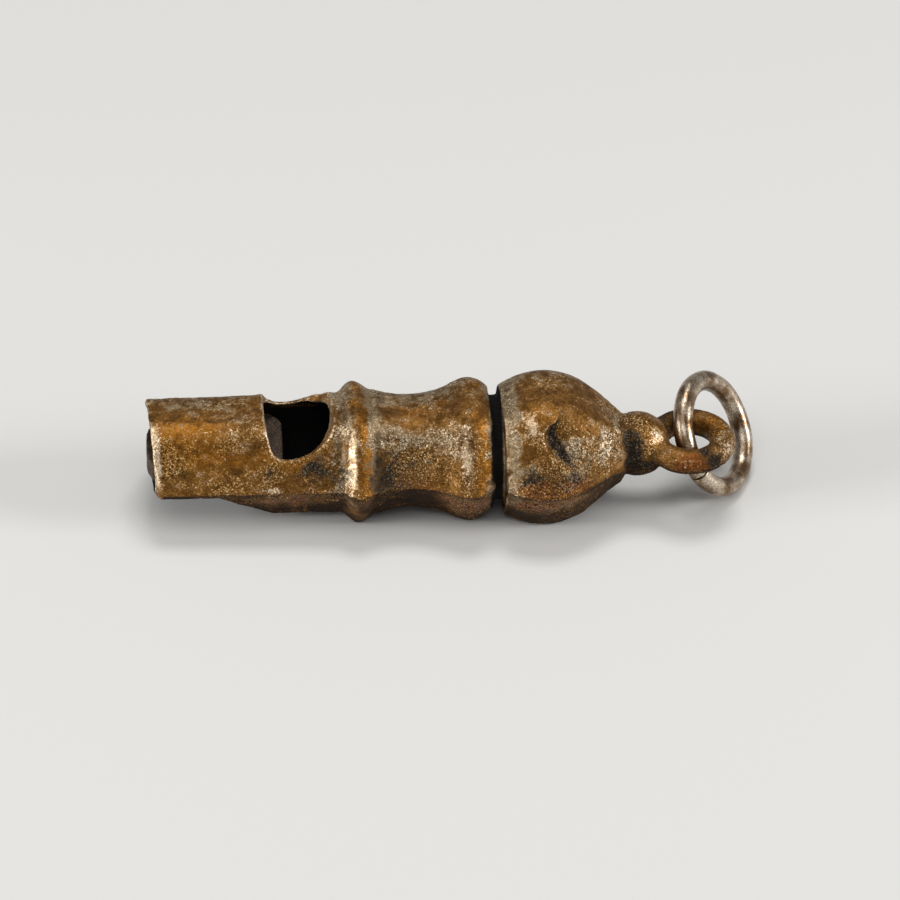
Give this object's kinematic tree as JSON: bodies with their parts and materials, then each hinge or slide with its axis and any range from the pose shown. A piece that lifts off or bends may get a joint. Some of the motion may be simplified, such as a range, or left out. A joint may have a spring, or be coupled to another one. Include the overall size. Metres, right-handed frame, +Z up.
{
  "type": "hawking whistle",
  "caption": "Cast bronze hawking whistle: cut-away mouthpiece with a fipple block, sounding window, two collars round a waisted spool, a hollow bulb, and an eye with a loose wire ring.",
  "frame": {"origin": "centre of the worn flat under the bulb's widest part, on the surface that the whistle lies on", "axes": "+X along the whistle from its mouth to its ring, +Z up through the sounding window, +Y to the side that the ring leans to"},
  "size_m": [0.0612, 0.0176, 0.0139],
  "materials": {
    "cast_bronze": "worn cast bronze, pitted, with brown patina, grey bloom on its tops and bright rubbed ridges",
    "block_bronze": "dull dark brown bronze, rough",
    "ring_bronze": "smooth drawn wire, brown to pale greyish bronze, rubbed bright"
  },
  "bodies": {
    "whistle": {"whistle_body": "cast_bronze", "fipple_block": "block_bronze"},
    "ring": {"suspension_ring": "ring_bronze"}
  },
  "joints": [
    {"name": "ring_swing", "type": "hinge", "parent": "whistle", "child": "ring", "pos_m": [0.01413, 0, 0.00733], "axis": [-0.0302, 0, 0.9995], "range_deg": [-65, 40]}
  ]
}
